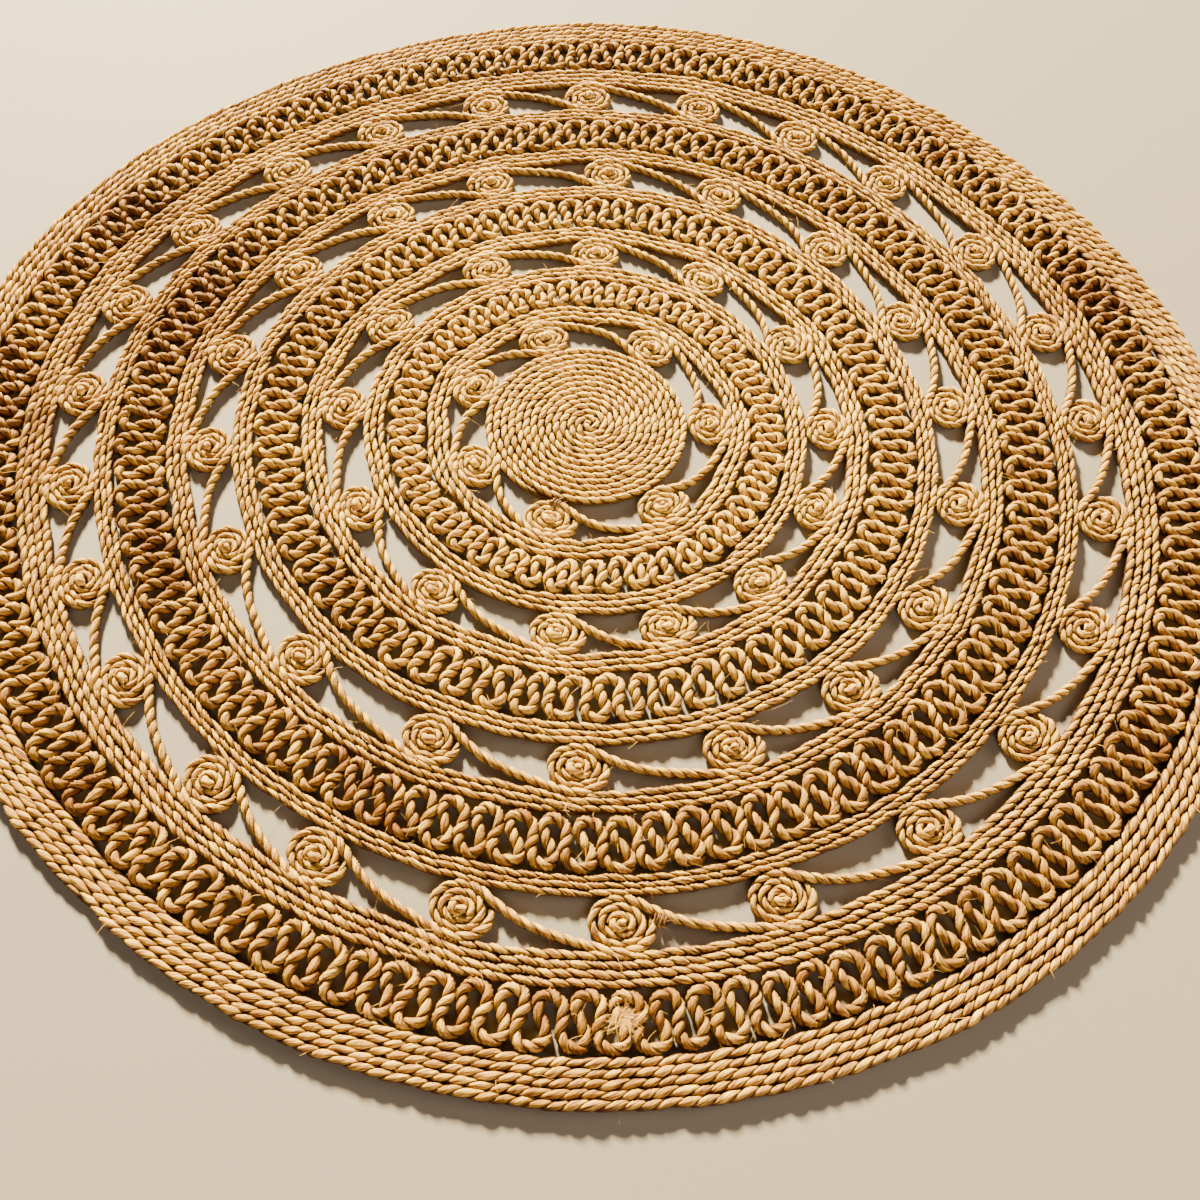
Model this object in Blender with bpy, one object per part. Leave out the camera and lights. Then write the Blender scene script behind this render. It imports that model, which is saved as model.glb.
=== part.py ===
"""A round rug of sewn jute cord, 1.2 m across, lying flat on the floor.

The pieces are modelled on an ideal round plan, in millimetres, and then settled: one function moves
each corner to its place on the hand-made rug, whose middle drifts a little, whose rim is uneven and
whose rows are drawn in between the coils. The origin is on the floor, under the middle of the rug.
"""

import math

import bmesh
import bpy
from mathutils import Vector

# ---------------------------------------------------------------- driving dimensions, mm
RUG_RADIUS = 600.0
CORD = 8.5  # height of a row of cord
GROOVE = 5.2  # height of the groove between two rows
LOOP_EDGE = 6.4  # height of the zigzag's loops where they meet the rows, and of the dip in a coil
TO_METRES = 0.001
SHARP = 50.0  # edges steeper than this stay sharp, degrees

# The disc in the middle, one cord wound flat
DISC_RADIUS = 93.6
DISC_ROWS = 14
DISC_SIDES = 24

# Rings of rows sewn side by side: name, inner radius, outer radius, rows, sides
BANDS = (
    ("band_1", 132.4, 151.6, 3, 24),
    ("band_2", 186.3, 204.6, 3, 24),
    ("band_3", 243.3, 262.2, 3, 32),
    ("band_4", 305.3, 323.6, 3, 32),
    ("band_5", 364.4, 382.9, 3, 46),
    ("band_6", 430.5, 447.2, 3, 46),
    ("band_7", 489.2, 516.4, 4, 60),
    ("border", 564.2, RUG_RADIUS, 5, 60),
)

# Rings of zigzag loops, 0.3 mm from the bands on both sides: name, inner radius, outer radius, eyes,
# length of an eye. The cord turns twice for each eye, so an eye stands for two of the real ones.
WAVES = (
    ("wave_ring_1", 151.9, 186.0, 24, 21.0),
    ("wave_ring_2", 262.5, 305.0, 32, 28.0),
    ("wave_ring_3", 383.2, 430.2, 46, 32.0),
    ("wave_ring_4", 516.7, 563.9, 60, 32.0),
)
EYE_WIDTH = 13.0
EYE_SLANT = 5.0  # sideways lean of an eye from end to end
EYE_SHIFT = 2.6  # every other eye lies this far out, the ones between this far in

# Rings of coils: name, radius of the coils' middles, half the depth of a coil, how far the rows
# outside are drawn in midway between two coils, and where each coil is, in degrees
SCROLLS = (
    ("scroll_ring_1", 113.0, 18.6, 5.0, (3, 59, 113, 159, 207, 254, 307)),
    ("scroll_ring_2", 223.9, 18.6, 3.0, (2, 30, 60, 89, 118, 149, 177, 207, 236, 265, 289, 313, 338)),
    (
        "scroll_ring_3", 344.0, 19.6, 2.0,
        (7, 26, 46, 68, 88, 109, 128, 148, 168, 187, 206, 228, 250, 270, 291, 310, 328, 348),
    ),
    (
        "scroll_ring_4", 468.2, 20.2, 1.2,
        (4, 18, 33, 49, 63, 77, 92, 106, 121, 135, 150, 164, 178,
         191, 204, 217, 232, 245, 259.4, 274, 289, 305, 320, 335, 350),
    ),
)
COIL_SIDES = 8
COIL_HALF_WIDTH = 25.6  # along the ring, at the corners
# A coil from its foot up: share of its size, height. The last one is the top of its middle.
COIL_TURNS = ((0.80, CORD), (0.52, LOOP_EDGE))
COIL_MIDDLE = 9.5
# The cord that runs on to the next coil: share of the way there, share of the depth outwards
TAIL_STEPS = ((0.36, -0.52), (0.64, 0.30))
TAIL_FOOT = 4.5  # half its width on the floor
TAIL_TOP = 2.4  # half its width on top

# How the middle of the rings drifts: radius, then right and away
DRIFT = (
    (0.0, -9.5, 0.0),
    (113.0, -10.5, 0.5),
    (224.0, -12.0, -1.5),
    (344.0, -10.0, -2.5),
    (468.0, -6.5, -2.5),
    (RUG_RADIUS, 0.0, 0.0),
)
# Swells of the uneven rim: how many round the rug, size along the cosine and along the sine
SWELLS = ((2, -0.1, -1.4), (3, -3.4, -0.4), (4, 2.4, -3.1), (5, 0.5, 1.6))
SWELL_FADE = 1.5  # the swells die away towards the middle with this power of the radius
PULL_FADE = 70.0  # past a ring of coils, the rows are round again after this distance

# ---------------------------------------------------------------- finishes: colour, roughness
FINISHES = {
    "row_cord": ((0.60, 0.40, 0.19, 1.0), 0.85),
    "coil_cord": ((0.58, 0.39, 0.19, 1.0), 0.85),
    "loop_cord": ((0.50, 0.30, 0.13, 1.0), 0.88),
}


# ---------------------------------------------------------------- where things lie on the real rug
def drift(radius):
    """Where the middle of the circle of this radius lies."""
    for (r0, x0, y0), (r1, x1, y1) in zip(DRIFT, DRIFT[1:]):
        if radius <= r1:
            share = (radius - r0) / (r1 - r0)
            return x0 + share * (x1 - x0), y0 + share * (y1 - y0)
    return DRIFT[-1][1:]


def swell(radius, angle):
    """How far the uneven rug stands out of its round plan here."""
    size = sum(c * math.cos(n * angle) + s * math.sin(n * angle) for n, c, s in SWELLS)
    return size * (radius / RUG_RADIUS) ** SWELL_FADE


def between(angle, angles):
    """0 at a coil and 1 midway between two."""
    turn = math.degrees(angle) % 360
    starts = [a - 360 for a in angles[-1:]] + list(angles) + [angles[0] + 360]
    for a, b in zip(starts, starts[1:]):
        if a <= turn <= b:
            return math.sin(math.pi * (turn - a) / (b - a)) ** 2
    return 0.0


def pull(radius, angle):
    """How far the rows are drawn in between the coils that lie inside them."""
    total = 0.0
    for _, middle, depth, sag, angles in SCROLLS:
        rise = min(max((radius - middle) / depth, 0.0), 1.0)
        fade = min(max(1 - (radius - middle - depth) / PULL_FADE, 0.0), 1.0)
        total += sag * rise * fade * between(angle, angles)
    return total


def spot(radius, angle):
    """The place on the floor of a corner of the round plan."""
    x, y = drift(radius)
    reach = radius + swell(radius, angle) - pull(radius, angle)
    return Vector((x + reach * math.cos(angle), y + reach * math.sin(angle)))


def outline_middle():
    """The middle of the box around the rim, so that the origin can lie under it."""
    sides = BANDS[-1][-1]
    rim = [spot(RUG_RADIUS, k * math.tau / sides) for k in range(sides)]
    xs, ys = [p.x for p in rim], [p.y for p in rim]
    return Vector(((min(xs) + max(xs)) / 2, (min(ys) + max(ys)) / 2))


MIDDLE = outline_middle()


def settle(bm):
    """Moves every corner from the plan to its place on the rug, in metres."""
    for vert in bm.verts:
        radius = math.hypot(vert.co.x, vert.co.y)
        angle = math.atan2(vert.co.y, vert.co.x)
        flat = spot(radius, angle) - MIDDLE
        vert.co = Vector((flat.x, flat.y, vert.co.z)) * TO_METRES


# ---------------------------------------------------------------- objects and finishes
def finish(name):
    """The material of one finish, made once."""
    if name in bpy.data.materials:
        return bpy.data.materials[name]
    colour, roughness = FINISHES[name]
    material = bpy.data.materials.new(name)
    material.use_nodes = True
    shader = material.node_tree.nodes["Principled BSDF"]
    shader.inputs["Base Color"].default_value = colour
    shader.inputs["Roughness"].default_value = roughness
    shader.inputs["Metallic"].default_value = 0.0
    return material


def add_object(name, bm, finish_name):
    """Settles the shape and makes it a named object with its own finish."""
    settle(bm)
    bmesh.ops.recalc_face_normals(bm, faces=bm.faces)
    mesh = bpy.data.meshes.new(name)
    bm.to_mesh(mesh)
    bm.free()
    mesh.shade_smooth()
    mesh.set_sharp_from_angle(angle=math.radians(SHARP))
    mesh.materials.append(finish(finish_name))
    piece = bpy.data.objects.new(name, mesh)
    bpy.context.scene.collection.objects.link(piece)
    return piece


def spin_section(section, sides, closed):
    """Spins a section of (radius, height) points all the way round the upright axis."""
    bm = bmesh.new()
    verts = [bm.verts.new((radius, 0.0, height)) for radius, height in section]
    edges = [bm.edges.new(pair) for pair in zip(verts, verts[1:])]
    if closed:
        edges.append(bm.edges.new((verts[-1], verts[0])))
    bmesh.ops.spin(
        bm, geom=verts + edges, cent=(0, 0, 0), axis=(0, 0, 1), dvec=(0, 0, 0),
        angle=math.tau, steps=sides, use_merge=True, use_duplicate=False,
    )
    bmesh.ops.remove_doubles(bm, verts=bm.verts, dist=0.001)
    return bm


# ---------------------------------------------------------------- the disc and the bands of rows
def crests(inner, pitch, rows):
    """The top of some rows side by side: a crest for each, and a groove between two."""
    line = []
    for row in range(rows):
        line.append((inner + (row + 0.5) * pitch, CORD))
        if row < rows - 1:
            line.append((inner + (row + 1) * pitch, GROOVE))
    return line


def add_disc():
    pitch = DISC_RADIUS / DISC_ROWS
    section = [(0.0, GROOVE)] + crests(0.0, pitch, DISC_ROWS) + [(DISC_RADIUS, 0.0), (0.0, 0.0)]
    add_object("centre_disc", spin_section(section, DISC_SIDES, closed=False), "row_cord")


def add_band(name, inner, outer, rows, sides):
    """Where a ring of coils lies inside the band, its flat sides are moved out to clear them."""
    if any(abs(inner - middle - depth) < 2 for _, middle, depth, _, _ in SCROLLS):
        inner = inner / math.cos(math.pi / sides)
    section = [(inner, 0.0)] + crests(inner, (outer - inner) / rows, rows) + [(outer, 0.0)]
    add_object(name, spin_section(section, sides, closed=True), "row_cord")


# ---------------------------------------------------------------- the rings of zigzag loops
def add_corner_loop(bm, corners):
    """A closed line of edges through (radius, angle, height) corners."""
    verts = [
        bm.verts.new((radius * math.cos(angle), radius * math.sin(angle), height))
        for radius, angle, height in corners
    ]
    return [bm.edges.new(pair) for pair in zip(verts, verts[1:] + verts[:1])]


def add_wave_ring(name, inner, outer, eyes, eye_length):
    """A plate with an eye under every second loop, filled between its edges and given its depth."""
    bm = bmesh.new()
    step = math.tau / eyes
    edges = []
    for radius in (inner, outer):
        edges += add_corner_loop(bm, [(radius, k * step, LOOP_EDGE) for k in range(eyes)])
    for k in range(eyes):
        middle = (inner + outer) / 2 + (EYE_SHIFT if k % 2 else -EYE_SHIFT)
        corners = []
        for out, side in ((-1, -1), (1, -1), (1, 1), (-1, 1)):
            radius = middle + out * eye_length / 2
            across = side * EYE_WIDTH / 2 + out * EYE_SLANT / 2
            corners.append((radius, (k + 0.5) * step + across / middle, CORD))
        edges += add_corner_loop(bm, corners)
    bmesh.ops.triangle_fill(bm, use_beauty=True, edges=edges)
    made = bmesh.ops.extrude_face_region(bm, geom=bm.faces[:])
    for vert in (v for v in made["geom"] if isinstance(v, bmesh.types.BMVert)):
        vert.co.z = 0.0
    add_object(name, bm, "loop_cord")


# ---------------------------------------------------------------- the rings of coils
def lift(bm, face, centre, share, height):
    """Extrudes a coil's top face to the next turn: drawn in towards the centre, at this height."""
    is_foot = all(edge.is_boundary for edge in face.edges)
    made = bmesh.ops.extrude_face_region(bm, geom=[face])
    for vert in (v for v in made["geom"] if isinstance(v, bmesh.types.BMVert)):
        vert.co = centre + (vert.co - centre) * share
        vert.co.z = height
    if not is_foot:
        bmesh.ops.delete(bm, geom=[face], context="FACES_ONLY")
    return next(f for f in made["geom"] if isinstance(f, bmesh.types.BMFace))


def add_coil(bm, middle, depth, angle):
    """One flat coil. Returns the faces where its cord leaves and where the last coil's arrives."""
    out = Vector((math.cos(angle), math.sin(angle), 0))
    along = Vector((-math.sin(angle), math.cos(angle), 0))
    centre = middle * out
    foot = []
    for k in range(COIL_SIDES):
        turn = (k + 0.5) * math.tau / COIL_SIDES
        corner = centre + along * COIL_HALF_WIDTH * math.cos(turn) + out * depth * math.sin(turn)
        foot.append(bm.verts.new(corner))
    face = bm.faces.new(foot)
    size = 1.0
    for share, height in COIL_TURNS:
        face = lift(bm, face, centre, share / size, height)
        size = share
    bmesh.ops.poke(bm, faces=[face])
    top = min(
        (v for v in bm.verts if len(v.link_faces) == COIL_SIDES),
        key=lambda v: (v.co.xy - centre.xy).length,
    )
    top.co.z = COIL_MIDDLE
    walls = {f for v in foot for f in v.link_faces if len(f.verts) == 4}

    def facing(direction):
        return max(walls, key=lambda f: (f.calc_center_median() - centre).dot(direction))

    return facing(along - out), facing(out - along)


def by_place(verts):
    """The four corners of a tail's section: foot inside and outside, then top outside and inside."""
    foot = sorted((v for v in verts if v.co.z < 1), key=lambda v: v.co.xy.length)
    top = sorted((v for v in verts if v.co.z > 1), key=lambda v: v.co.xy.length)
    return [foot[0], foot[1], top[1], top[0]]


def add_tail(bm, leaves, arrives, middle, depth, start, gap):
    """The cord from one coil's inner side across to the outer side of the next."""
    sections = [by_place(leaves.verts)]
    for share, outwards in TAIL_STEPS:
        angle = start + share * gap
        out = Vector((math.cos(angle), math.sin(angle), 0))
        point = out * (middle + outwards * depth)
        corners = ((-TAIL_FOOT, 0.0), (TAIL_FOOT, 0.0), (TAIL_TOP, CORD), (-TAIL_TOP, CORD))
        sections.append([bm.verts.new(point + out * across + Vector((0, 0, z))) for across, z in corners])
    sections.append(by_place(arrives.verts))
    for here, there in zip(sections, sections[1:]):
        for i in range(4):
            j = (i + 1) % 4
            bm.faces.new((here[i], here[j], there[j], there[i]))
    bmesh.ops.delete(bm, geom=[leaves, arrives], context="FACES_ONLY")


def add_scroll_ring(name, middle, depth, _sag, angles):
    bm = bmesh.new()
    turns = [math.radians(a) for a in angles]
    coils = [add_coil(bm, middle, depth, turn) for turn in turns]
    for k, turn in enumerate(turns):
        following = (k + 1) % len(turns)
        gap = (turns[following] - turn) % math.tau
        add_tail(bm, coils[k][0], coils[following][1], middle, depth, turn, gap)
    add_object(name, bm, "coil_cord")


# ---------------------------------------------------------------- the whole rug
def main():
    for leftover in list(bpy.data.objects):
        bpy.data.objects.remove(leftover)
    add_disc()
    for row in BANDS:
        add_band(*row)
    for row in WAVES:
        add_wave_ring(*row)
    for row in SCROLLS:
        add_scroll_ring(*row)


main()
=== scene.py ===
# %% [markdown]
# # A round rug of sewn jute cord
#
# The rug is one long story told with a single material: jute cord, two plies twisted together, about
# as thick as a finger nail is wide. It is wound into a disc, laid in rings of rows, folded into
# zigzags and rolled into little coils. So this lesson makes one good cord first, and then spends the
# rest of its cells on the routes that the cord takes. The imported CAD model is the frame: every cord
# made here takes the place of one of its nodes and lies exactly where that node lies.

# %% Load the frame
import math

import bmesh
import bpy
import numpy as np
from mathutils import Matrix, Vector


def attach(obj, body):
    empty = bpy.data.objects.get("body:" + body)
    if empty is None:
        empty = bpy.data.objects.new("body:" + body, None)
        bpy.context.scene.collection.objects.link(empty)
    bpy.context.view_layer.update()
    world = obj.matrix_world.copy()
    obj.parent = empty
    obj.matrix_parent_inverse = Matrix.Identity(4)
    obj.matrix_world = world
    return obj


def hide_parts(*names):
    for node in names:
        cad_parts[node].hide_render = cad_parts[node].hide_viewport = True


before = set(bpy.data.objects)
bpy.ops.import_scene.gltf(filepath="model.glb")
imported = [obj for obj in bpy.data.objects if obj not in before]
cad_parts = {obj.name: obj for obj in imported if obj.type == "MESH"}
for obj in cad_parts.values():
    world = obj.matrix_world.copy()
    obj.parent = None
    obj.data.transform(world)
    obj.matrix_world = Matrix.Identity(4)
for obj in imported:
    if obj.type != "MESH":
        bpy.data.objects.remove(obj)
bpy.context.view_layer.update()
scene = bpy.context.scene
print("nodes to dress:", len(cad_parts))

# %% [markdown]
# ## Where things lie
#
# Nobody sews a perfect circle. On the real rug the middle of the rings drifts a little to one side,
# the rim swells in and out by a few millimetres, and the rows are drawn in between the coils. It
# would be tiresome to bend every piece by hand, so everything is planned on an ideal round plan, as
# radius and angle in millimetres, and one function then settles each point to its true place. The
# CAD part was settled with the same few numbers, which is why the new pieces fit over it.

# %% The plan's sizes, in millimetres
MM = 0.001
RUG_RADIUS = 600.0
DRIFT_RADII = (0.0, 113.0, 224.0, 344.0, 468.0, RUG_RADIUS)
DRIFT_RIGHT = (-9.5, -10.5, -12.0, -10.0, -6.5, 0.0)
DRIFT_AWAY = (0.0, 0.5, -1.5, -2.5, -2.5, 0.0)
SWELLS = ((2, -0.1, -1.4), (3, -3.4, -0.4), (4, 2.4, -3.1), (5, 0.5, 1.6))  # waves, cosine, sine
SWELL_FADE = 1.5
PULL_FADE = 70.0  # over which the coils' pull fades
RIM_SIDES = 60

# Rings of coils: radius of the coils' middles, half the depth of a coil, how far the rows outside
# are drawn in midway between two coils, and where each coil is, in degrees
SCROLLS = {
    "scroll_ring_1": (113.0, 18.6, 5.0, (3, 59, 113, 159, 207, 254, 307)),
    "scroll_ring_2": (
        223.9, 18.6, 3.0,
        (2, 30, 60, 89, 118, 149, 177, 207, 236, 265, 289, 313, 338),
    ),
    "scroll_ring_3": (
        344.0, 19.6, 2.0,
        (7, 26, 46, 68, 88, 109, 128, 148, 168, 187, 206, 228, 250, 270, 291, 310, 328, 348),
    ),
    "scroll_ring_4": (
        468.2, 20.2, 1.2,
        (4, 18, 33, 49, 63, 77, 92, 106, 121, 135, 150, 164, 178,
         191, 204, 217, 232, 245, 259.4, 274, 289, 305, 320, 335, 350),
    ),
}


def between(angle, coil_degrees):
    """0 at a coil and 1 midway between two."""
    stops = np.radians(np.array(coil_degrees, float))
    stops = np.concatenate([[stops[-1] - math.tau], stops, [stops[0] + math.tau]])
    turn = np.mod(angle, math.tau)
    after = np.clip(np.searchsorted(stops, turn, side="right"), 1, len(stops) - 1)
    share = (turn - stops[after - 1]) / (stops[after] - stops[after - 1])
    return np.sin(math.pi * share) ** 2


def spots(radius, angle):
    """The places on the floor of points on the round plan, in millimetres."""
    radius, angle = np.broadcast_arrays(np.asarray(radius, float), np.asarray(angle, float))
    swell = sum(c * np.cos(n * angle) + s * np.sin(n * angle) for n, c, s in SWELLS)
    reach = radius + swell * (radius / RUG_RADIUS) ** SWELL_FADE
    for middle, depth, sag, coil_degrees in SCROLLS.values():
        rise = np.clip((radius - middle) / depth, 0, 1)
        fade = np.clip(1 - (radius - middle - depth) / PULL_FADE, 0, 1)
        reach = reach - sag * rise * fade * between(angle, coil_degrees)
    right = np.interp(radius, DRIFT_RADII, DRIFT_RIGHT)
    away = np.interp(radius, DRIFT_RADII, DRIFT_AWAY)
    return np.stack([right + reach * np.cos(angle), away + reach * np.sin(angle)], axis=-1)


rim = spots(RUG_RADIUS, np.arange(RIM_SIDES) * math.tau / RIM_SIDES)
MIDDLE = (rim.min(axis=0) + rim.max(axis=0)) / 2


def settle(radius, angle, height):
    """Points of the plan, in millimetres, at their places on the rug, in metres."""
    flat = spots(radius, angle) - MIDDLE
    height = np.broadcast_to(np.asarray(height, float), flat.shape[:-1])
    return np.concatenate([flat, height[..., None]], axis=-1) * MM


print("the rim's own middle lies at", np.round(MIDDLE, 2), "mm on the plan")

# %% [markdown]
# ## One twisted cord
#
# Jute cord is two plies laid round each other. Cut across, each ply is a half round pressed flat
# against the other, with a groove on both sides, and that figure turns as it goes along. Cord that
# is sewn tight in rows is pressed round, and its groove is narrow. The cord of the zigzags is held
# only here and there and is knobblier, and the cord of the coils has the deepest groove of all. So
# there are three cuts.

# %% The cuts across a cord
# A quarter of each cut, for a cord of radius 1: degrees from the middle of a ply, reach
PRESSED_CUT = ((0, 1.0), (40, 0.965), (71, 0.85), (90, 0.60))
COILED_CUT = ((0, 1.0), (38, 0.955), (68, 0.82), (90, 0.56))
FREE_CUT = ((0, 1.0), (38, 0.96), (68, 0.82), (90, 0.60))
SECTION_SIDES = 4 * (len(PRESSED_CUT) - 1)


def whole_cut(quarter):
    """Degrees and reach of every corner of a cut, once round."""
    half = list(quarter) + [(180 - degree, reach) for degree, reach in quarter[-2:0:-1]]
    return np.array(half + [(180 + degree, reach) for degree, reach in half], float)


def cut_curve(name, corners):
    """A cut as a closed curve, ready to be swept. Each corner is (degrees, reach)."""
    data = bpy.data.curves.new(name, "CURVE")
    line = data.splines.new("POLY")
    line.points.add(len(corners) - 1)
    for point, (degree, reach) in zip(line.points, corners):
        turn = math.radians(degree)
        point.co = (reach * math.cos(turn), reach * math.sin(turn), 0.0, 1.0)
    line.use_cyclic_u = True
    piece = bpy.data.objects.new(name, data)
    scene.collection.objects.link(piece)
    return piece


cut_curves = {
    PRESSED_CUT: cut_curve("cut of a pressed cord", whole_cut(PRESSED_CUT)),
    COILED_CUT: cut_curve("cut of a coiled cord", whole_cut(COILED_CUT)),
    FREE_CUT: cut_curve("cut of a free cord", whole_cut(FREE_CUT)),
}
print("each cut has", SECTION_SIDES, "corners")

# %% [markdown]
# A modeller could twist two thin tubes, but that doubles the faces and leaves a gap between them.
# Instead the cut itself is swept along a curve whose tilt grows with the length: **Curve to Mesh** in
# a small Geometry Nodes group does the sweep and closes the ends.

# %% The node group that sweeps a cut along a curve
sweep = bpy.data.node_groups.new("sweep a cord", "GeometryNodeTree")
sweep.interface.new_socket("Geometry", in_out="INPUT", socket_type="NodeSocketGeometry")
sweep.interface.new_socket("Geometry", in_out="OUTPUT", socket_type="NodeSocketGeometry")
route_in = sweep.nodes.new("NodeGroupInput")
mesh_out = sweep.nodes.new("NodeGroupOutput")
cut = sweep.nodes.new("GeometryNodeObjectInfo")
to_mesh = sweep.nodes.new("GeometryNodeCurveToMesh")
to_mesh.inputs["Fill Caps"].default_value = True
thickness = sweep.nodes.new("GeometryNodeInputRadius")
sweep.links.new(route_in.outputs[0], to_mesh.inputs["Curve"])
sweep.links.new(cut.outputs["Geometry"], to_mesh.inputs["Profile Curve"])
sweep.links.new(thickness.outputs[0], to_mesh.inputs["Scale"])
sweep.links.new(to_mesh.outputs[0], mesh_out.inputs[0])


def swept_mesh(name, routes, cut_piece, twist_mode):
    """Sweeps a cut along routes. Each one is (points, radius at each, tilt at each), in metres."""
    cut.inputs["Object"].default_value = cut_piece
    data = bpy.data.curves.new(name, "CURVE")
    data.dimensions = "3D"
    data.twist_mode = twist_mode
    for points, radii, tilts in routes:
        spline = data.splines.new("POLY")
        spline.points.add(len(points) - 1)
        spline.points.foreach_set("co", np.c_[points, np.ones(len(points))].ravel())
        spline.points.foreach_set("radius", radii)
        spline.points.foreach_set("tilt", tilts)
    curve = bpy.data.objects.new(name + " route", data)
    scene.collection.objects.link(curve)
    curve.modifiers.new("sweep", "NODES").node_group = sweep
    ready = curve.evaluated_get(bpy.context.evaluated_depsgraph_get())
    mesh = bpy.data.meshes.new_from_object(ready)
    mesh.name = name
    bpy.data.objects.remove(curve)
    return mesh


def add_piece(name, mesh):
    """Links a finished mesh as a piece that rides on the rug's one body."""
    piece = bpy.data.objects.new(name, mesh)
    scene.collection.objects.link(piece)
    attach(piece, "root")
    return piece


def triangles(mesh):
    return sum(len(face.vertices) - 2 for face in mesh.polygons)


print("the sweep has", len(sweep.nodes), "nodes")

# %% [markdown]
# A route is a list of points in metres with a thickness at each. It is first cut into even steps, so
# that the twist is even too. Nothing made by hand is quite even, though, so thickness, height and
# place all wander: a few long waves added up look random and stay smooth.

# %% Even steps and slow waves
def even_steps(points, widths, step):
    """The route again, with its points one step apart."""
    reach = np.concatenate([[0.0], np.cumsum(np.linalg.norm(np.diff(points, axis=0), axis=1))])
    count = max(int(round(reach[-1] / step)), 3)
    at = np.linspace(0.0, reach[-1], count + 1)
    even = np.stack([np.interp(at, reach, points[:, i]) for i in range(3)], axis=-1)
    return even, np.interp(at, reach, widths), at


def wander(at, size, lengths, rng):
    """A smooth random line along a route: a few long waves of random start added up."""
    total = sum(np.sin(math.tau * (at / length + rng.uniform())) for length in lengths)
    return size * total / len(lengths)


def soft_step(share):
    """0 up to the start of a step and 1 from its end, with a soft rise between."""
    share = np.clip(share, 0, 1)
    return share * share * (3 - 2 * share)


print("a soft step by quarters:", soft_step(np.linspace(0, 1, 5)))

# %% [markdown]
# The shader has to know what a point of the cord is, wherever the cord goes. So the mesh keeps five
# notes for it, as attributes: where the fibres run, which ply a point is on and how far along, how
# deep it lies in the groove, how high it lies in the cord, and how brown the jute is there. A UV map
# could hold two of them, but attributes hold all five and never need unwrapping.

# %% Notes for the shader
FIBRE_LEAN = 0.5  # fibres turn half as fast as their ply
FIBRE_STRETCH = 20.0  # mm of cord for each mm across, in the fibre pattern
STRAND_STRETCH = 14.0  # mm along a ply over which its tone changes
PLY_APART = 3.0  # how far the two plies lie apart in the pattern of tones
FIBRES_APART, STRANDS_APART = 7.0, 5.0  # the same for two cords of one piece
PIECES_APART = 10.0  # and for two pieces, counted in cords


def add_note(mesh, name, values):
    """Writes one value or one vector for each point of the mesh."""
    kind, field = ("FLOAT", "value") if values.ndim == 1 else ("FLOAT_VECTOR", "vector")
    note = mesh.attributes.new(name, kind, "POINT")
    note.data.foreach_set(field, values.astype(np.float32).ravel())


def points_of(mesh):
    """The places of a mesh's points, one row for each."""
    places = np.zeros(len(mesh.vertices) * 3)
    mesh.vertices.foreach_get("co", places)
    return places.reshape(-1, 3)


def note_strands(mesh, quarter, radius, turns, lengths, runs):
    """Notes that turn with the twist: fibre, strand and groove."""
    degrees, reaches = whole_cut(quarter).T
    turn = np.repeat(np.concatenate(turns), SECTION_SIDES)
    along = np.repeat(np.concatenate(lengths), SECTION_SIDES) / MM
    run = np.repeat(np.concatenate(runs), SECTION_SIDES)
    around = np.tile(np.radians(degrees), len(turn) // SECTION_SIDES)
    reach = np.tile(reaches, len(turn) // SECTION_SIDES)
    lean = around + FIBRE_LEAN * turn
    wide = radius / MM
    on = along / FIBRE_STRETCH + FIBRES_APART * run
    fibre = [wide * np.cos(lean), wide * np.sin(lean), on]
    strand = [PLY_APART * np.cos(around), along / STRAND_STRETCH, STRANDS_APART * run]
    add_note(mesh, "fibre", np.stack(fibre, axis=-1))
    add_note(mesh, "strand", np.stack(strand, axis=-1))
    add_note(mesh, "groove", (1 - reach) / (1 - reaches.min()))


print(f"tones change along {STRAND_STRETCH:.0f} mm of a ply, and fibres over {FIBRE_STRETCH:.0f} mm")

# %% [markdown]
# How brown the jute is doesn't depend on the cord, but on the place in the rug.

# %% Where the jute is brown
# Patches of browner jute, and at the end two that darken the near rim: right and away on the floor,
# reach, strength, in metres
BROWN_PATCHES = (
    (-0.40, 0.13, 0.10, 0.95),
    (-0.53, -0.04, 0.12, 0.95),
    (-0.36, -0.16, 0.07, 0.80),
    (-0.46, 0.24, 0.09, 0.85),
    (-0.26, 0.12, 0.05, 0.55),
    (-0.20, -0.20, 0.06, 0.50),
    (-0.30, 0.46, 0.08, 0.65),
    (0.50, 0.20, 0.09, 0.85),
    (0.42, 0.02, 0.06, 0.55),
    (0.36, 0.42, 0.08, 0.65),
    (0.47, -0.30, 0.07, 0.70),
    (-0.16, -0.37, 0.06, 0.75),
    (-0.38, -0.40, 0.06, 0.65),
    (0.01, -0.65, 0.09, 0.95),
    (-0.24, -0.60, 0.08, 0.90),
)
BROWN_RIM = 0.50  # how much browner the rug is at the rim than in the middle
BROWN_FROM, BROWN_TO = 0.20, 0.43  # metres from the middle


def note_brown(mesh):
    """How brown the jute is: more towards the rim, and most in the patches."""
    right_at, away_at, _ = points_of(mesh).T
    out = (np.hypot(right_at, away_at) - BROWN_FROM) / (BROWN_TO - BROWN_FROM)
    brown = BROWN_RIM * soft_step(out)
    for right, away, size, strength in BROWN_PATCHES:
        far = np.hypot(right_at - right, away_at - away)
        brown = np.maximum(brown, strength * np.exp(-((far / size) ** 2) / 2))
    add_note(mesh, "brown", brown)


print("patches of browner jute:", len(BROWN_PATCHES))

# %% [markdown]
# The tilt turns one full round for each *lay* of cord. The cord of the border is laid the other way
# from the rest of the rug, so the twist has a sign. Where cords are pressed side by side they stand
# a little taller than wide, and nothing goes below the floor: both are done to the finished points.
# The two lines where the plies meet are made sharp, so that each ply is shaded as a round body.

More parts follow.
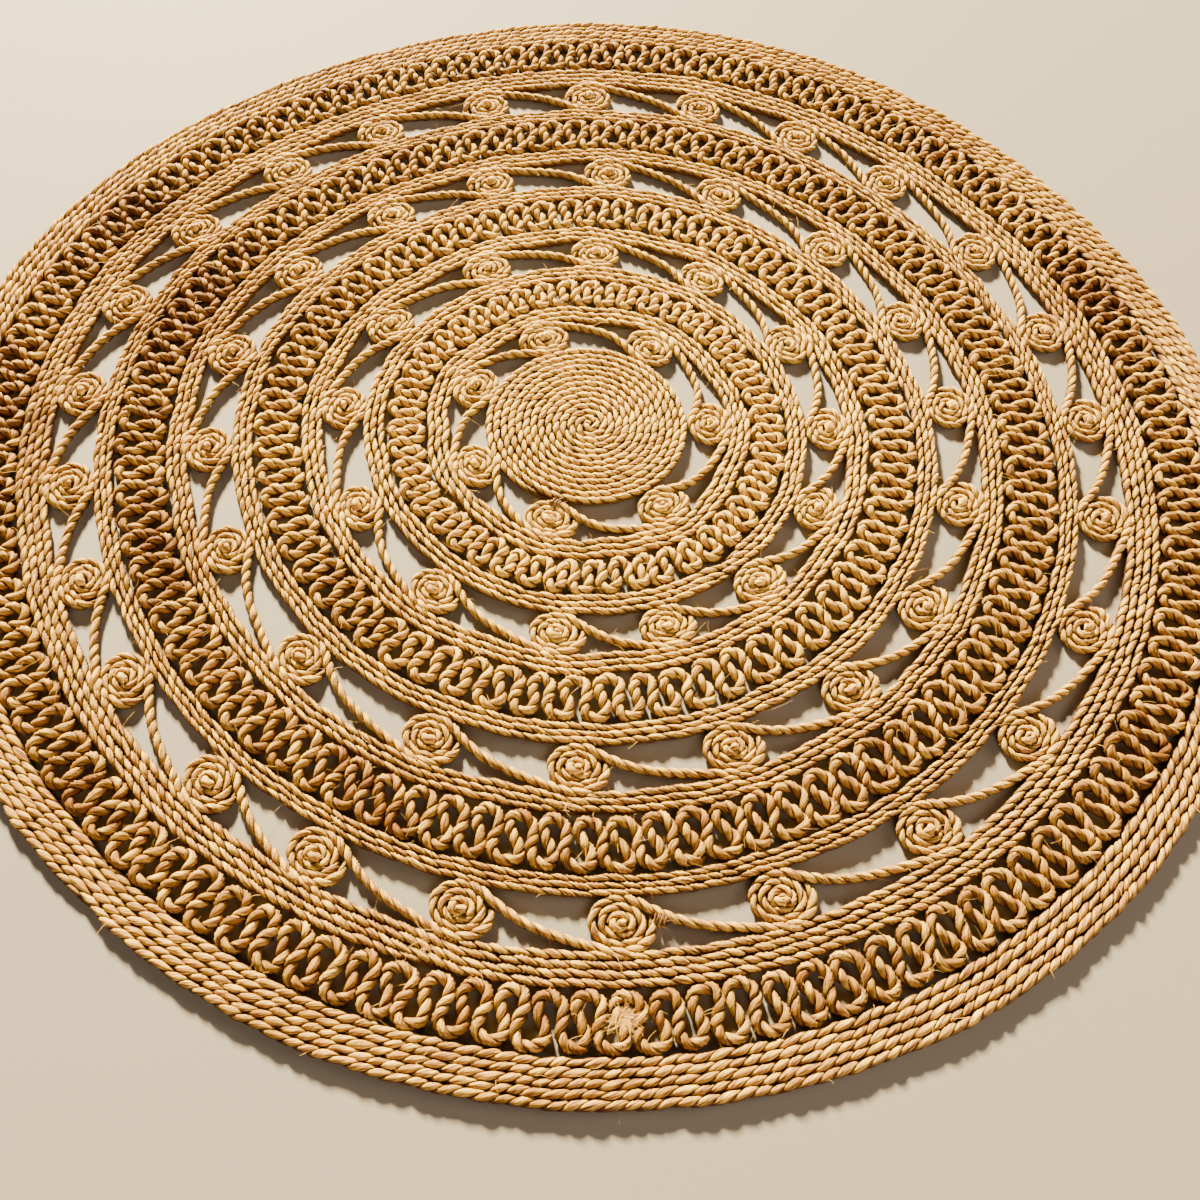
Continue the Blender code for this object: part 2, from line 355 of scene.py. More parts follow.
# %% A piece of twisted cord
LAY_WANDER = (0.9, (0.047, 0.083, 0.21))  # radians, and the lengths of its waves in metres
cords = []


def mark_grooves(mesh):
    """Makes the edges along both grooves sharp."""
    ends = np.zeros(len(mesh.edges) * 2, int)
    mesh.edges.foreach_get("vertices", ends)
    first, second = (ends.reshape(-1, 2) % SECTION_SIDES).T
    sharp = (first == second) & (first % (SECTION_SIDES // 2) == SECTION_SIDES // 4)
    mesh.edges.foreach_set("use_edge_sharp", sharp)


def press(mesh, radius, taller):
    """Makes the cords taller, keeps them over the floor, and notes how high each point lies."""
    places = points_of(mesh)
    places[:, 2] = np.maximum(places[:, 2] * taller, 0.0)
    mesh.vertices.foreach_set("co", places.ravel())
    add_note(mesh, "rise", places[:, 2] / (2 * radius * taller))


def make_cord(name, routes, radius, lay, step, quarter, taller, seed, twist=1):
    """One piece of twisted cords. Each route is (points in metres, thickness at each, 1 = full)."""
    rng = np.random.default_rng(seed)
    laid, turns, lengths, runs = [], [], [], []
    for run, (points, widths) in enumerate(routes):
        even, width, at = even_steps(points, widths, step)
        tilt = twist * math.tau * at / lay + rng.uniform(0, math.tau)
        tilt += wander(at, *LAY_WANDER, rng)
        laid.append((even, width * radius, tilt))
        turns.append(tilt)
        lengths.append(at)
        runs.append(np.full(len(at), run + PIECES_APART * seed))
    mesh = swept_mesh(name, laid, cut_curves[quarter], "Z_UP")
    for old in [a.name for a in mesh.attributes if a.domain == "POINT" and a.name != "position"]:
        mesh.attributes.remove(mesh.attributes[old])
    note_strands(mesh, quarter, radius, turns, lengths, runs)
    press(mesh, radius, taller)
    note_brown(mesh)
    mesh.shade_smooth()
    mark_grooves(mesh)
    piece = add_piece(name, mesh)
    cords.append(piece)
    total = sum(at[-1] for at in lengths)
    print(f"{name}: {total:.2f} m of cord, {triangles(mesh)} triangles")
    return piece


print("the twist wanders by up to", round(math.degrees(LAY_WANDER[0])), "degrees")

# %% [markdown]
# ## Jute
#
# Dry jute is straw coloured and silky. Long fibres run nearly along the cord, and each ply has its
# own tone. A deep brown is painted into the grooves and the lower sides of each cord as shade. Some
# lengths of this rug were dyed by the sun or the ret to a redder brown. The shader mixes those from
# the notes that each cord carries, so the pattern follows every bend of the cord instead of lying
# across it.
#
# Five small helpers make its nodes, and `feed` fills their sockets, each with a plain value or with
# another node's output.

# %% Helpers for shader nodes
MIX_SOCKETS = (0, 6, 7)  # the factor and the two colours of a Mix node that mixes colours
MIX_RESULT = 2


def feed(tree, node, sockets):
    """Fills sockets, given by name or number, with values or outputs."""
    for key, value in sockets.items():
        if isinstance(value, (float, tuple)):
            node.inputs[key].default_value = value
        else:
            tree.links.new(value, node.inputs[key])


def note_of(tree, attribute, output):
    node = tree.nodes.new("ShaderNodeAttribute")
    node.attribute_name = attribute
    return node.outputs[output]


def noise_of(tree, vector, scale, detail, rough):
    node = tree.nodes.new("ShaderNodeTexNoise")
    feed(tree, node, {"Vector": vector, "Scale": scale, "Detail": detail, "Roughness": rough})
    return node.outputs["Fac"]


def ramp_of(tree, value, stops):
    node = tree.nodes.new("ShaderNodeValToRGB")
    while len(node.color_ramp.elements) < len(stops):
        node.color_ramp.elements.new(0.5)
    for element, (position, colour) in zip(node.color_ramp.elements, stops):
        element.position = position
        element.color = colour
    feed(tree, node, {"Fac": value})
    return node.outputs["Color"]


def mix_of(tree, kind, factor, first, second):
    node = tree.nodes.new("ShaderNodeMix")
    node.data_type = "RGBA"
    node.blend_type = kind
    feed(tree, node, dict(zip(MIX_SOCKETS, (factor, first, second))))
    return node.outputs[MIX_RESULT]


def math_of(tree, kind, first, second):
    node = tree.nodes.new("ShaderNodeMath")
    node.operation = kind
    feed(tree, node, {0: first, 1: second})
    return node.outputs[0]


def new_material(name):
    """A material, its node tree and its shader."""
    material = bpy.data.materials.new(name)
    material.use_nodes = True
    return material, material.node_tree, material.node_tree.nodes["Principled BSDF"]


print("sockets of a Mix node:", MIX_SOCKETS, MIX_RESULT)

# %% [markdown]
# The tones are those of dry jute in warm light: straw where a ply is clean, gold and amber where it
# isn't, brown for the dyed lengths, and a deep brown painted shade for the grooves and the lower
# sides of the cords. Each ramp below turns one pattern into tones, and the streak ramp multiplies the
# rest, so its bright end goes past 1.

# %% The tones of jute
STRAW = (1.0, 0.70, 0.08, 1.0)
GOLD = (0.86, 0.56, 0.11, 1.0)
AMBER = (0.53, 0.275, 0.065, 1.0)
BROWN = (0.20, 0.076, 0.002, 1.0)
# painted shade: a deep brown mixed into the grooves and the lower sides of every cord
PAINTED_SHADE = (0.042, 0.011, 0.006, 1.0)


def grey(value):
    return (value, value, value, 1.0)


# Stops of each ramp: place, colour
PLY_TONES = ((0.33, AMBER), (0.46, GOLD), (0.61, STRAW))
LENGTH_TONES = ((0.38, grey(0.35)), (0.62, grey(1.5)))
# painted shade in the grooves: how much a point takes, by how deep it lies in its groove
GROOVE_TONES = ((0.38, grey(0.0)), (0.95, grey(1.0)))
STREAK_TONES = (
    (0.36, (0.21, 0.110, 0.16, 1.0)),
    (0.46, (0.74, 0.66, 0.82, 1.0)),
    (0.54, (1.05, 1.02, 0.96, 1.0)),
    (0.66, (1.22, 1.22, 1.00, 1.0)),
)
# Patterns: scale, detail, roughness
PLY_NOISE = (1.0, 1.0, 0.5)
LENGTH_NOISE = (0.33, 1.0, 0.5)
STREAK_NOISE = (0.85, 3.0, 0.65)
HAIR_NOISE = (4.0, 2.0, 0.6)
BROWN_AGES = 0.10  # a brown length has darker plies too
SIDE_DARK = 0.9  # how much painted shade a cord's sides take at the floor
HAIR_SHARE = 0.6  # of the relief, beside the streaks
RELIEF, RELIEF_DEPTH = 0.55, 0.0013
JUTE_ROUGHNESS, JUTE_SHINE = 0.55, 0.15
print("tones of a ply:", len(PLY_TONES))

# %% [markdown]
# The same material serves rows, coils and loops, with other shares. Rows lie so close that only
# their tops see light, so painted shade covers their sides up to a greater height. Coils are paler
# and take less painted shade in their grooves, and the loops of the zigzags take the most brown.

# %% The jute materials
def jute_material(name, brown_share, dark_at, light_at, groove_shade_share):
    """Jute for one kind of cord; painted shade fills its sides up to dark_at and fades out by
    light_at.
    """
    material, tree, shader = new_material(name)
    strand_at = note_of(tree, "strand", "Vector")
    fibre_at = note_of(tree, "fibre", "Vector")
    brown = note_of(tree, "brown", "Fac")
    plies = noise_of(tree, strand_at, *PLY_NOISE)
    lengths = noise_of(tree, strand_at, *LENGTH_NOISE)
    streaks = noise_of(tree, fibre_at, *STREAK_NOISE)
    hairs = noise_of(tree, fibre_at, *HAIR_NOISE)

    aged = math_of(tree, "SUBTRACT", plies, math_of(tree, "MULTIPLY", brown, BROWN_AGES))
    tone = ramp_of(tree, aged, PLY_TONES)
    broken = ramp_of(tree, lengths, LENGTH_TONES)
    browned = math_of(tree, "MULTIPLY", math_of(tree, "MULTIPLY", brown, brown_share), broken)
    tone = mix_of(tree, "MIX", browned, tone, BROWN)
    tone = mix_of(tree, "MULTIPLY", 1.0, tone, ramp_of(tree, streaks, STREAK_TONES))
    # painted shade in the grooves: the deeper a point lies in a groove, the more deep brown it takes
    painted_groove_shade = ramp_of(tree, note_of(tree, "groove", "Fac"), GROOVE_TONES)
    tone = mix_of(tree, "MIX", math_of(tree, "MULTIPLY", painted_groove_shade, groove_shade_share), tone, PAINTED_SHADE)
    # painted shade on the sides: full up to dark_at and none from light_at, by the height of a point
    side = tree.nodes.new("ShaderNodeMapRange")
    feed(tree, side, {"Value": note_of(tree, "rise", "Fac"), "From Min": dark_at,
                      "From Max": light_at, "To Min": SIDE_DARK, "To Max": 0.0})
    tone = mix_of(tree, "MIX", side.outputs["Result"], tone, PAINTED_SHADE)

    bump = tree.nodes.new("ShaderNodeBump")
    relief = math_of(tree, "ADD", streaks, math_of(tree, "MULTIPLY", hairs, HAIR_SHARE))
    feed(tree, bump, {"Height": relief, "Strength": RELIEF, "Distance": RELIEF_DEPTH})
    feed(tree, shader, {"Base Color": tone, "Normal": bump.outputs["Normal"],
                        "Roughness": JUTE_ROUGHNESS, "Specular IOR Level": JUTE_SHINE})
    return material


def dress(piece, node, material):
    """The piece stands for its CAD node and takes its finish."""
    piece.data.materials.append(material)
    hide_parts(node)


row_jute = jute_material("row cord jute", 0.68, 0.60, 0.84, groove_shade_share=0.9)
coil_jute = jute_material("coil cord jute", 0.20, 0.25, 0.82, groove_shade_share=0.7)
loop_jute = jute_material("loop cord jute", 1.1, 0.20, 0.85, groove_shade_share=0.9)
print("materials:", row_jute.name, coil_jute.name, loop_jute.name, sep="  ")

# %% [markdown]
# ## Rows
#
# A band is one cord laid round and round, each turn pressed against the last. To get from a row to
# the next the cord steps outwards over a few centimetres, always at the same place in its band, and
# its two ends taper and are tucked in beside that step. So the radius follows a staircase with soft
# steps, and the thickness fades at the ends.

# %% The route of a band
ROW_LAY = 0.0255
ROW_STEP = 0.0038
ROW_HEIGHT = 9.5  # the cord stands this tall, however close its rows are pressed, in mm
ROW_FULLNESS = 0.565  # radius of the cord, for each mm from row to row
ROW_SEAT, ROW_TOP = 0.93, 1.93  # heights of its middle and of its top, for each mm of its radius
ROW_GRAIN = 2.0  # mm along the rug from one planned point to the next
STEP_LENGTH = 70.0  # mm along the rug in which the cord moves out by one row
TUCKED = 0.35  # thickness of a tucked end
# How the cord wanders: size, then how many waves go round the rug, or the lengths of the waves in mm
ROW_SWAY, SWAY_WAVES = 1.3, (5, 9, 14, 23)
ROW_RIPPLE, RIPPLE_RADII = 0.5, (6.0, 9.0)  # here, one wave for each of these mm of the radius
ROW_DRIFT = (0.7, (29.0, 47.0, 97.0))
ROW_THICKNESS = (0.14, (15.0, 23.0, 37.0, 88.0))
ROW_LIFT = (0.3, (19.0, 31.0, 71.0))


def tuck(share):
    """Thickness near a tucked end."""
    return TUCKED + (1 - TUCKED) * soft_step(share)


def row_route(inner, outer, rows, start, rng):
    """The cord of one band, from its inner edge to its outer edge."""
    pitch = (outer - inner) / rows
    middle = (inner + outer) / 2
    step = STEP_LENGTH / middle
    turn = np.arange(0.0, rows * math.tau + step, ROW_GRAIN / middle)
    row = sum(soft_step((turn - k * math.tau) / step) for k in range(1, rows))
    at = turn * middle
    sway = wander(turn, ROW_SWAY, [math.tau / waves for waves in SWAY_WAVES], rng)
    ripples = [math.tau / round(middle / size) for size in RIPPLE_RADII]
    sway = sway + wander(turn, ROW_RIPPLE, ripples, rng)
    radius = inner + pitch * (row + 0.5) + sway + wander(at, *ROW_DRIFT, rng)
    width = 1.0 + wander(at, *ROW_THICKNESS, rng)
    width *= tuck(turn / step)
    width *= tuck((turn[-1] - turn) / step)
    cord_radius = pitch * ROW_FULLNESS
    height = cord_radius * ROW_SEAT * width + wander(at, *ROW_LIFT, rng)
    return settle(radius, turn + math.radians(start), height), width, cord_radius


print(f"rows 6 mm apart are laid with a cord {2 * 6 * ROW_FULLNESS:.1f} mm thick")

# %% [markdown]
# The rug has eight bands, with the border. Each steps at another place, as a maker takes care that
# the steps don't line up.

# %% The bands
BAND_SEEDS = 100
# inner and outer radius in mm, rows, and where the cord steps outwards, in degrees
BANDS = {
    "band_1": (132.4, 151.6, 3, 205.0),
    "band_2": (186.3, 204.6, 3, 300.0),
    "band_3": (243.3, 262.2, 3, 80.0),
    "band_4": (305.3, 323.6, 3, 160.0),
    "band_5": (364.4, 382.9, 3, 264.0),
    "band_6": (430.5, 447.2, 3, 20.0),
    "band_7": (489.2, 516.4, 4, 254.0),
    "border": (564.2, RUG_RADIUS, 5, 228.0),
}
for seed, (name, (inner, outer, rows, start)) in enumerate(BANDS.items()):
    rng = np.random.default_rng(BAND_SEEDS + seed)
    points, width, cord_radius = row_route(inner, outer, rows, start, rng)
    band = make_cord(name + "_cord", [(points, width)], cord_radius * MM, ROW_LAY, ROW_STEP,
                     quarter=PRESSED_CUT, taller=ROW_HEIGHT / (ROW_TOP * cord_radius), seed=seed,
                     twist=-1 if name == "border" else 1)
    dress(band, name, row_jute)

# %% [markdown]
# ## The disc
#
# The middle is one cord wound flat, nearly fourteen times round. That is an Archimedean spiral: the
# radius grows by one row in each turn. The turns are spaced by a square root, which sets the points
# evenly along the cord.

# %% The wound disc
DISC_LAY = 0.023
DISC_PITCH = 6.78
DISC_TURNS = 13.75
DISC_START = 0.03  # the square of the turns where the cord begins
DISC_POINTS = 3200
DISC_TAPER = 34.0
DISC_TUCK = 0.35  # of a row, by which the outer end moves in
DISC_ENDS = 250.0  # where the outer end is tucked in, in degrees
DISC_THICKNESS = (0.09, (13.0, 23.0, 37.0, 88.0))
DISC_LIFT = (0.25, (19.0, 31.0, 71.0))
DISC_DRIFT = (0.4, (29.0, 41.0, 97.0))
DISC_ROUTE_SEED, DISC_SEED = 7, 20
rng = np.random.default_rng(DISC_ROUTE_SEED)
turn = np.sqrt(np.linspace(DISC_START, DISC_TURNS**2, DISC_POINTS)) * math.tau
radius = DISC_PITCH * turn / math.tau
at = np.concatenate([[0.0], np.cumsum(radius[1:] * np.diff(turn))])
to_end = (at[-1] - at) / DISC_TAPER
width = 1.0 + wander(at, *DISC_THICKNESS, rng)
width *= tuck(to_end)
cord_radius = DISC_PITCH * ROW_FULLNESS
height = cord_radius * ROW_SEAT * width + wander(at, *DISC_LIFT, rng)
radius = radius + wander(at, *DISC_DRIFT, rng)
radius = radius - DISC_TUCK * DISC_PITCH * (1 - soft_step(to_end))
points = settle(radius, turn + math.radians(DISC_ENDS) - turn[-1], height)
disc = make_cord("disc_cord", [(points, width)], cord_radius * MM, DISC_LAY, ROW_STEP,
                 quarter=PRESSED_CUT, taller=ROW_HEIGHT / (ROW_TOP * cord_radius), seed=DISC_SEED)
dress(disc, "centre_disc", row_jute)

# %% [markdown]
# ## Zigzags
#
# Between two bands a thicker cord is folded to and fro, like a river in its plain. There is a neat
# formula for such a line, the *sine-generated curve*: the heading swings as a sine of the length
# walked. Past a quarter turn of swing the loops close up into round bulbs that almost touch, which
# is just how they lie here. The swing is found by trying values until the loops are as tall for
# their pitch as the ring allows.

# %% One loop of the zigzag
LOOP_SAMPLES = 72
SWINGS = np.linspace(1.2, 2.15, 191)  # radians, all that are tried


def loop_shape(tallness):
    """One loop as shares of its pitch and of its height, where height / pitch is tallness."""
    share = (np.arange(LOOP_SAMPLES) + 0.5) / LOOP_SAMPLES
    best = None
    for swing in SWINGS:
        heading = swing * np.sin(math.tau * share)
        ahead, across = np.cumsum(np.cos(heading)), np.cumsum(np.sin(heading))
        off = abs((across.max() - across.min()) / ahead[-1] - tallness)
        if best is None or off < best[0]:
            best = (off, swing, ahead / ahead[-1], across / (across.max() - across.min()))
    _, swing, ahead, across = best
    return ahead, across - (across.max() + across.min()) / 2, swing


for tallness in (1.0, 2.0):
    swing = loop_shape(tallness)[2]
    print(f"loops {tallness} times as tall as their pitch: swing {math.degrees(swing):.0f} degrees")

# %% [markdown]
# No two loops are alike: they lean, crowd and stretch. Slow random waves round the ring do that,
# and a short table gives the lean where the rug has a marked one.

# %% The zigzag rings
LOOP_LAY = 0.022
LOOP_STEP = 0.0029
LOOP_RADIUS = 5.1
LOOP_FULLER = 1.13  # the bulbs are drawn rounder, then pressed down to the height of the ring
LOOP_PRESS = 1.6  # mm by which they press into the rows beside them
LOOP_SEAT = 0.80  # height of the cord's middle, for each mm of its radius
LOOP_TALLER = 1.24
# How the loops wander: size, then the lengths of its waves in mm
LOOP_LEAN = (3.0, (43.0, 71.0, 190.0))
LOOP_HEIGHT = (0.05, (37.0, 53.0, 83.0))
LOOP_DRIFT = (1.1, (58.0, 83.0, 171.0))
LOOP_CROWD = (1.3, (39.0, 52.0, 77.0))
LOOP_THICKNESS = (0.06, (9.0, 14.0, 41.0))
LOOP_LIFT = (0.35, (29.0, 47.0))
LOOP_ROUTE_SEEDS, LOOP_SEEDS = 300, 30
# inner and outer radius, whole loops, crowding in loops, lean in mm: all round, and towards an angle
ZIGZAGS = {
    "wave_ring_1": (151.9, 186.0, 46, 0.0, 1.0, 0.0, 0.0),
    "wave_ring_2": (262.5, 305.0, 65, 0.3, 1.0, 1.5, 120.0),
    "wave_ring_3": (383.2, 430.2, 94, 0.0, 0.0, 5.0, 250.0),
    "wave_ring_4": (516.7, 563.9, 122, 0.15, 0.5, 4.0, 20.0),
}
for seed, (name, row) in enumerate(ZIGZAGS.items()):
    inner, outer, loops, crowd, lean, lean_more, lean_at = row
    rng = np.random.default_rng(LOOP_ROUTE_SEEDS + seed)
    middle = (inner + outer) / 2
    tall = outer - inner - 2 * LOOP_RADIUS + LOOP_PRESS
    pitch = math.tau * middle / loops
    ahead, across, swing = loop_shape(LOOP_FULLER * tall / pitch)
    share = ((np.arange(loops)[:, None] + ahead[None, :]) / loops).ravel()
    across = np.tile(across, loops)
    turn = share * math.tau
    side = turn * middle
    lean_here = lean + lean_more * np.maximum(np.cos(turn - math.radians(lean_at)), 0) ** 2
    lean_here = lean_here + wander(side, *LOOP_LEAN, rng)
    reach = tall * (1 + wander(side, *LOOP_HEIGHT, rng))
    radius = middle + across * reach + wander(side, *LOOP_DRIFT, rng)
    angle = turn - crowd * (1 - np.cos(turn)) * math.tau / loops
    angle = angle + (across * 2 * lean_here + wander(side, *LOOP_CROWD, rng)) / middle
    width = 1.0 + wander(side, *LOOP_THICKNESS, rng)
    height = LOOP_RADIUS * LOOP_SEAT + wander(side, *LOOP_LIFT, rng)
    points = settle(radius, angle, height)
    points, width = np.concatenate([points, points[:1]]), np.append(width, width[0])
    ring = make_cord(name + "_cord", [(points, width)], LOOP_RADIUS * MM, LOOP_LAY, LOOP_STEP,
                     quarter=FREE_CUT, taller=LOOP_TALLER, seed=LOOP_SEEDS + seed)
    dress(ring, name, loop_jute)
    print(f"   swing {math.degrees(swing):.0f} degrees, pitch {pitch:.1f} mm")

# %% [markdown]
# ## Coils
#
# Each coil starts in its own middle and winds outwards, clockwise seen from above. It leaves on the
# side of the rug's middle, crosses the gap and wraps over the outside of the next coil, where its
# end is tucked in. Coil, crossing and wrap are one cord, so they are one route: a spiral, a smooth
# bridge, and an arc.

# %% The spiral of a coil
COIL_LAY = 0.023
COIL_RADIUS = 4.4
COIL_HALF_WIDTH = 27.6
COIL_DEPTHS = (18.6, 20.2)  # half the depth of the smallest and of the largest coil
COIL_DEEPER = 3.0  # mm by which a coil presses into the rows beside it
COIL_GROWTH = 0.6  # more of that, for each mm of a larger coil
COIL_PITCH = 0.315  # of the coil's size, for each turn
COIL_START, COIL_END = 0.09, 1.0  # of the coil's size
COIL_SHIFT = -0.04  # the wrap lies on the outer side only, so the coil's middle lies a little inside
COIL_LEAVES = 310.0  # degrees, from the direction of the next coil towards the outside
COIL_POINTS = 160
COIL_CROWD = 0.65  # the points crowd towards the middle, where the turns are small
WRAP_FROM, WRAP_TO = 112.0, -18.0  # degrees
WRAP_OFF = 0.01  # of the coil's size, between the coil and the wrap
WRAP_POINTS = 40


def coil_size(depth):
    """Half the length and half the depth of a coil's outer turn, in mm."""
    smallest, largest = COIL_DEPTHS
    half_along = COIL_HALF_WIDTH * (0.5 + 0.5 * depth / largest) - COIL_RADIUS
    half_deep = depth - COIL_RADIUS + COIL_DEEPER + COIL_GROWTH * (depth - smallest)
    return half_along, half_deep


def coil_reach(turn):
    """The spiral's size where it has this angle, counted back from where it leaves."""
    return COIL_END - COIL_PITCH * (math.radians(COIL_LEAVES) - turn) / math.tau


def coil_points(reach, turn, half_along, half_deep):
    """(along the ring, outwards) from the coil's middle, in millimetres."""
    along = reach * np.cos(turn) * half_along
    outwards = (reach * np.sin(turn) + COIL_SHIFT) * half_deep
    return along, outwards


coil_turns = (COIL_END - COIL_START) / COIL_PITCH
print(f"each coil has {coil_turns:.1f} turns")

# %% [markdown]
# The bridge from one coil to the next is a Hermite curve: it is given both ends and the direction at
# each, and bends as a cord would between two hands.

# %% The bridge between two coils
BRIDGE_POINTS = 38
BRIDGE_SHARES = np.linspace(0, 1, BRIDGE_POINTS + 2)[1:-1]
PULL_LEAVING, PULL_ARRIVING = 1.3, 1.4
PULL_SPREAD = (0.85, 1.15)


def bridge_between(start, leaving, end, arriving, rng):
    """A smooth line from one place and direction to another."""
    leaving = leaving / np.linalg.norm(leaving)
    arriving = arriving / np.linalg.norm(arriving)
    pull = np.linalg.norm(end - start) * rng.uniform(*PULL_SPREAD)
    t = BRIDGE_SHARES[:, None]
    return (
        (2 * t**3 - 3 * t**2 + 1) * start + (t**3 - 2 * t**2 + t) * leaving * pull * PULL_LEAVING
        + (3 * t**2 - 2 * t**3) * end + (t**3 - t**2) * arriving * pull * PULL_ARRIVING
    )


print("a bridge has", BRIDGE_POINTS, "points")

# %% [markdown]
# Inside the coil the cord is squeezed thin, its first few millimetres make a knob in the middle, the
# bridge is stretched a little, and the tucked end of the wrap fades away.

# %% Thickness and height along a coil's cord
COIL_SQUEEZE = 0.80  # thickness where the cord is pressed into the coil
COIL_SEAT = 0.78  # height of the cord's middle, for each mm of its radius
COIL_LIFT, WRAP_LIFT = 0.7, 0.4  # mm by which they lie higher than the bridge
KNOB_LIFT, KNOB_SIZE = 0.8, 0.25  # mm, and of the coil's size
KNOB_POINTS, KNOB_WIDTHS = (0, 2, 9, 15), (0.9, 1.25, 1.05, COIL_SQUEEZE)
LOOSE_POINTS, TIP_POINTS = 12, 14  # over which the squeeze ends, and over which the tip fades
BRIDGE_THIN = 0.05  # how much thinner the bridge is halfway
WRAP_TIP = 0.45  # thickness of the tucked end


def coil_widths():
    """Thickness at each point of coil, bridge and wrap."""
    coil = np.full(COIL_POINTS, COIL_SQUEEZE)
    coil[-LOOSE_POINTS:] = np.linspace(COIL_SQUEEZE, 1.0, LOOSE_POINTS)
    knob = np.arange(KNOB_POINTS[-1] + 1)
    coil[:len(knob)] = np.interp(knob, KNOB_POINTS, KNOB_WIDTHS)
    bridge = 1 - BRIDGE_THIN * np.sin(math.pi * BRIDGE_SHARES)
    wrap = np.ones(WRAP_POINTS)
    wrap[-TIP_POINTS:] = np.linspace(1.0, WRAP_TIP, TIP_POINTS)
    return np.concatenate([coil, bridge, wrap])


def coil_heights(spiral, width):
    """Height of the cord's middle at each point of coil, bridge and wrap, in mm."""
    coil = COIL_LIFT + KNOB_LIFT * np.exp(-((coil_reach(spiral) / KNOB_SIZE) ** 2))
    rise = np.concatenate([coil, np.zeros(BRIDGE_POINTS), np.full(WRAP_POINTS, WRAP_LIFT)])
    return COIL_RADIUS * COIL_SEAT * width + rise


print("a coil's cord has", len(coil_widths()), "points")

# %% [markdown]
# Now the three parts are put together for each coil, as angle and radius on the plan. Only the
# bridge is drawn in plain millimetres, as if the ring were unrolled.

# %% The coils
COIL_ROUTE_SEEDS, COIL_SEEDS = 500, 50


def coil_route(middle, depth, here, gap, rng):
    """The whole cord of one coil, with its crossing and the wrap on the next coil."""
    size = coil_size(depth)
    run = 1 - np.linspace(0, 1, COIL_POINTS) ** COIL_CROWD
    spiral = math.radians(COIL_LEAVES) - coil_turns * math.tau * run
    along, outwards = coil_points(coil_reach(spiral), spiral, *size)
    coil = np.stack([here + along / middle, middle + outwards], axis=-1)
    turn = np.radians(np.linspace(WRAP_FROM, WRAP_TO, WRAP_POINTS))
    along, outwards = coil_points(coil_reach(turn) + COIL_PITCH + WRAP_OFF, turn, *size)
    wrap = np.stack([here + gap + along / middle, middle + outwards], axis=-1)

    unrolled = np.array([middle, 1.0])
    start, end = coil[-1] * unrolled, wrap[0] * unrolled
    leaving, arriving = start - coil[-2] * unrolled, wrap[1] * unrolled - end
    bridge = bridge_between(start, leaving, end, arriving, rng) / unrolled
    angle, radius = np.concatenate([coil, bridge, wrap]).T
    width = coil_widths()
    return settle(radius, angle, coil_heights(spiral, width)), width


for seed, (name, (middle, depth, _, degrees)) in enumerate(SCROLLS.items()):
    rng = np.random.default_rng(COIL_ROUTE_SEEDS + seed)
    routes = []
    for k, degree in enumerate(degrees):
        gap = math.radians((degrees[(k + 1) % len(degrees)] - degree) % 360)
        routes.append(coil_route(middle, depth, math.radians(degree), gap, rng))
    ring = make_cord(name + "_cord", routes, COIL_RADIUS * MM, COIL_LAY, LOOP_STEP,
                     quarter=COILED_CUT, taller=LOOP_TALLER, seed=COIL_SEEDS + seed)
    dress(ring, name, coil_jute)

# %% [markdown]
# ## Loose fibres
#
# Jute is never quite clean: short fibres stand off every cord and catch the light. Hair particles
# would do, but a real mesh travels better, so each fibre is one more little route for the sweep, with
# a cut of only three corners and a plain material.

# %% The cut and the materials of a fibre
FIBRE_CUT = ((0, 1.0), (120, 1.0), (240, 1.0))
THREAD_NOISE = (150.0, 2.0, 0.5)
THREAD_ROUGHNESS = 0.5
cut_curves[FIBRE_CUT] = cut_curve("cut of a fibre", FIBRE_CUT)


def thread_material(name, dark, light):
    """Plain threads whose tone changes from place to place."""
    material, tree, shader = new_material(name)
    place = tree.nodes.new("ShaderNodeTexCoord").outputs["Object"]
    tone = mix_of(tree, "MIX", noise_of(tree, place, *THREAD_NOISE), dark, light)
    feed(tree, shader, {"Base Color": tone, "Roughness": THREAD_ROUGHNESS})
    return material


fibre_jute = thread_material("loose fibre jute", (0.55, 0.28, 0.04, 1.0), (0.98, 0.66, 0.14, 1.0))
thread_jute = thread_material("binding jute", (0.07, 0.03, 0.005, 1.0), (0.28, 0.13, 0.02, 1.0))
print("materials:", fibre_jute.name, thread_jute.name, sep="  ")

# %% [markdown]
# The fibres start a hair's breadth under the surface of a cord, on its upper side, mostly along it,
# and bend as they leave. The cords' own points and normals say where that is.

# %% Loose fibres on every cord
FIBRE_SPINE = 5  # points along a fibre
FIBRE_FLOOR, FIBRE_ROOF = 0.4, 13.0  # no fibre goes lower or higher, in mm
FIBRE_TIP = 0.5  # thickness of its tip
FIBRES_PER_POINT = 0.0055  # of the cord's mesh
UPPER_SIDE = 0.15  # least upward part of the normal where a fibre starts
ALONG_CORD, OFF_CORD, ANY_WAY = 0.8, 0.45, 0.35
CURL = 0.30
CURL_SHARES = (1.0, 1.0, 0.4)
FIBRE_LENGTHS, LONGER = (5.0, 12.0), 3.0  # mm
FIBRE_THICKNESS = (0.22, 0.36)
ROOT_DEPTH = 0.2
FIBRE_SEED = 900


def unit(vectors):
    return vectors / np.maximum(np.linalg.norm(vectors, axis=-1, keepdims=True), 1e-9)


def bent_fibre(start, heading, length, curl):
    """Points of one fibre: it sets off along its heading and curls away, all in mm."""
    way = np.linspace(0, 1, FIBRE_SPINE)[:, None]
    points = start + length * (way * heading + way**2 * curl)
    points[:, 2] = np.clip(points[:, 2], FIBRE_FLOOR, FIBRE_ROOF)
    return points


